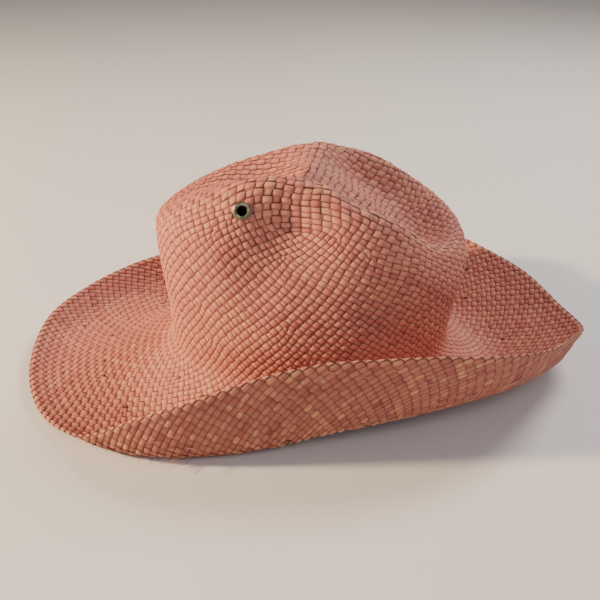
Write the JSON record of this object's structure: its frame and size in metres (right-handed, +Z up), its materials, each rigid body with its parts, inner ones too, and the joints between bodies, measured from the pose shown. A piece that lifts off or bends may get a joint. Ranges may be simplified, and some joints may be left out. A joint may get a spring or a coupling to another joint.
{
  "type": "straw cowboy hat",
  "caption": "Western hat plaited in one piece from dyed palm leaf, with a creased crown, a brim curled up at the sides and a metal vent eyelet in each side.",
  "frame": {"origin": "middle of the hat's outline on the surface that it rests on", "axes": "+X to the front, where the brim ends in a soft point; +Y to the side with the flatter brim; +Z up"},
  "size_m": [0.4079, 0.2641, 0.1588],
  "materials": {
    "straw": "plaited split palm leaf, dyed salmon pink, satin",
    "eyelet_metal": "aged grey-green brass plating"
  },
  "bodies": {
    "root": {"woven_body": "straw", "near_eyelet": "eyelet_metal", "far_eyelet": "eyelet_metal"}
  },
  "joints": []
}
